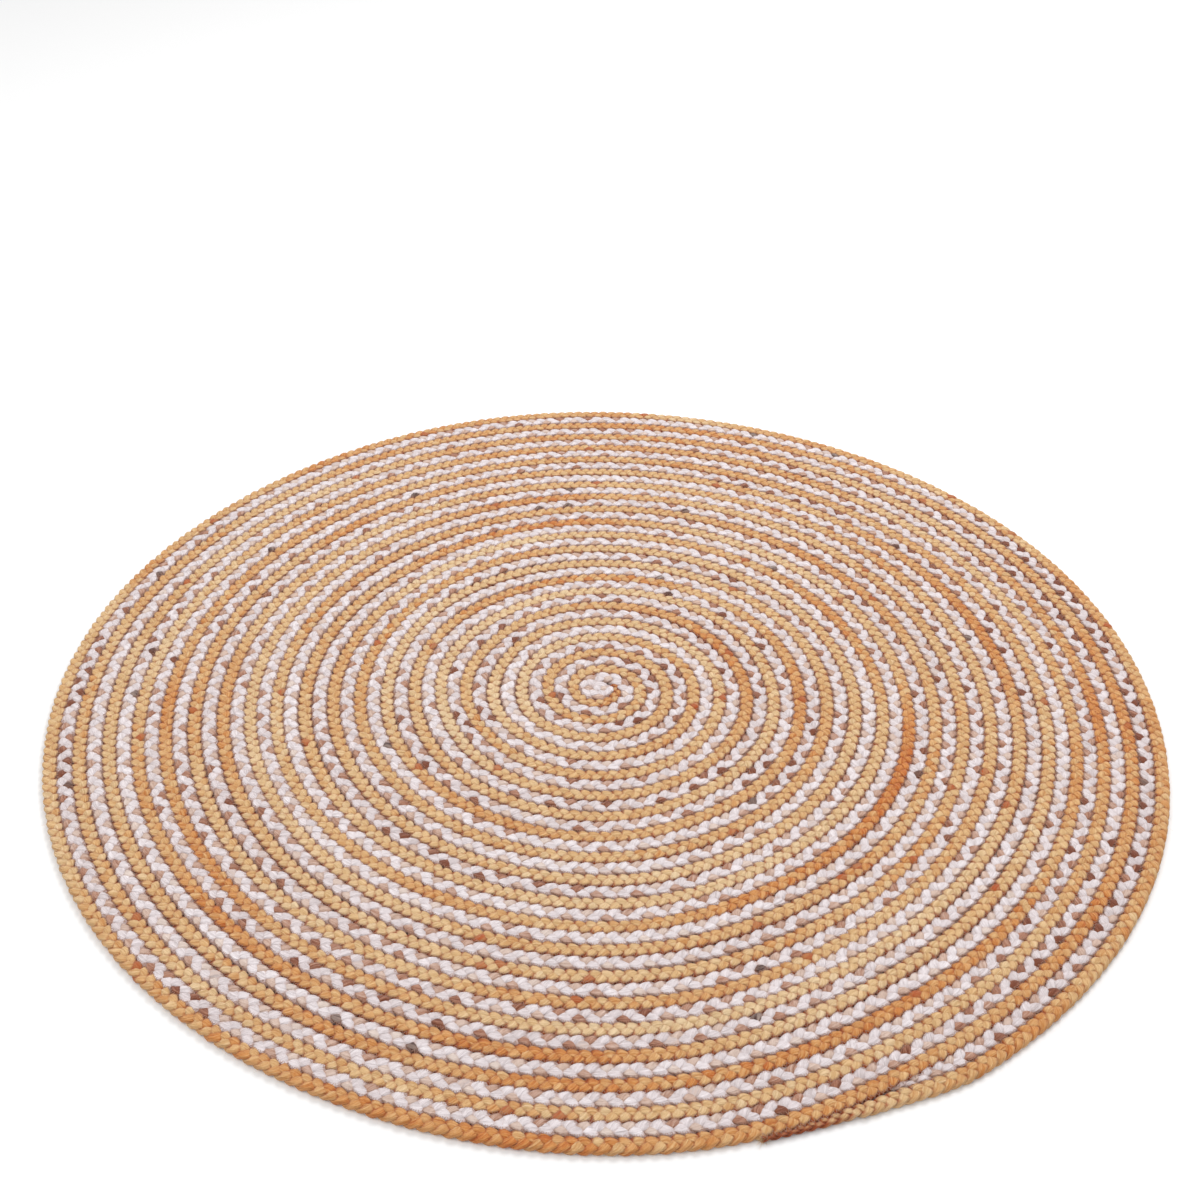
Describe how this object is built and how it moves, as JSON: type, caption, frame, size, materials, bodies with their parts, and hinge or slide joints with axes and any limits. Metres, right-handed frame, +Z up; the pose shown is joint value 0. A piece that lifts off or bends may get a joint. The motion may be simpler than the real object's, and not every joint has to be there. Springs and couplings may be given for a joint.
{
  "type": "round braided area rug",
  "caption": "Round, flat area rug wound from a jute plait and a cotton and taupe plait sewn edge to edge in a double spiral.",
  "frame": {"origin": "middle of the underside, on the floor", "axes": "+Z up from the floor; -Y towards the viewer, where the outer plait ends; +X to the right"},
  "size_m": [1.5053, 1.494, 0.009],
  "materials": {
    "jute": "natural jute strand, honey coloured with rust and tan patches, matt and slightly hairy",
    "cotton": "soft off-white cotton strand, matt and slightly fuzzy",
    "taupe": "taupe strand with red-brown and dark brown stretches, matt",
    "thread": "fine pale sewing thread"
  },
  "bodies": {
    "root": {"jute_strand_outer": "jute", "jute_strand_middle": "jute", "jute_strand_inner": "jute", "cotton_strand_outer": "cotton", "taupe_strand": "taupe", "cotton_strand_inner": "cotton", "inner_seam_needle_thread": "thread", "inner_seam_bobbin_thread": "thread", "outer_seam_needle_thread": "thread", "outer_seam_bobbin_thread": "thread"}
  },
  "joints": []
}
